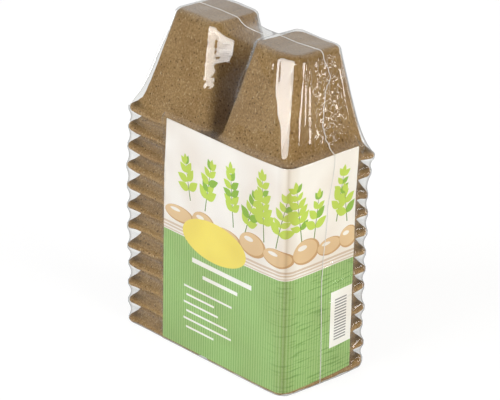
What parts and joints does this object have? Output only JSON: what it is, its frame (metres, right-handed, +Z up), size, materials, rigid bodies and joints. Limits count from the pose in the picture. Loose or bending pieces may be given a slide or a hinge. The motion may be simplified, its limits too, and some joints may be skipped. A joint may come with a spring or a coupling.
{
  "type": "peat pot",
  "caption": "Shrink-wrapped pack of square tapered peat pots, nested upside down in two stacks side by side, with a printed card bent round one corner under the film.",
  "frame": {"origin": "middle of the flat underside that the pack stands on", "axes": "+Z up, through the closed bases of the upturned pots; X runs from the left stack to the right stack; -Y is the long face that carries most of the card, and +X the narrow face it goes on to"},
  "size_m": [0.1226, 0.0614, 0.1759],
  "materials": {
    "peat_fibre": "matt, moulded fibre",
    "printed_card": "printed card, satin coated",
    "clear_film": "clear glossy shrink film"
  },
  "bodies": {
    "root": {"pot_left_01": "peat_fibre", "pot_left_02": "peat_fibre", "pot_left_03": "peat_fibre", "pot_left_04": "peat_fibre", "pot_left_05": "peat_fibre", "pot_left_06": "peat_fibre", "pot_left_07": "peat_fibre", "pot_left_08": "peat_fibre", "pot_left_09": "peat_fibre", "pot_left_10": "peat_fibre", "pot_left_11": "peat_fibre", "pot_left_12": "peat_fibre", "pot_right_01": "peat_fibre", "pot_right_02": "peat_fibre", "pot_right_03": "peat_fibre", "pot_right_04": "peat_fibre", "pot_right_05": "peat_fibre", "pot_right_06": "peat_fibre", "pot_right_07": "peat_fibre", "pot_right_08": "peat_fibre", "pot_right_09": "peat_fibre", "pot_right_10": "peat_fibre", "pot_right_11": "peat_fibre", "pot_right_12": "peat_fibre", "label_card": "printed_card", "film_underside": "clear_film", "film_sides": "clear_film", "film_hood": "clear_film", "film_seam": "clear_film"}
  },
  "joints": []
}
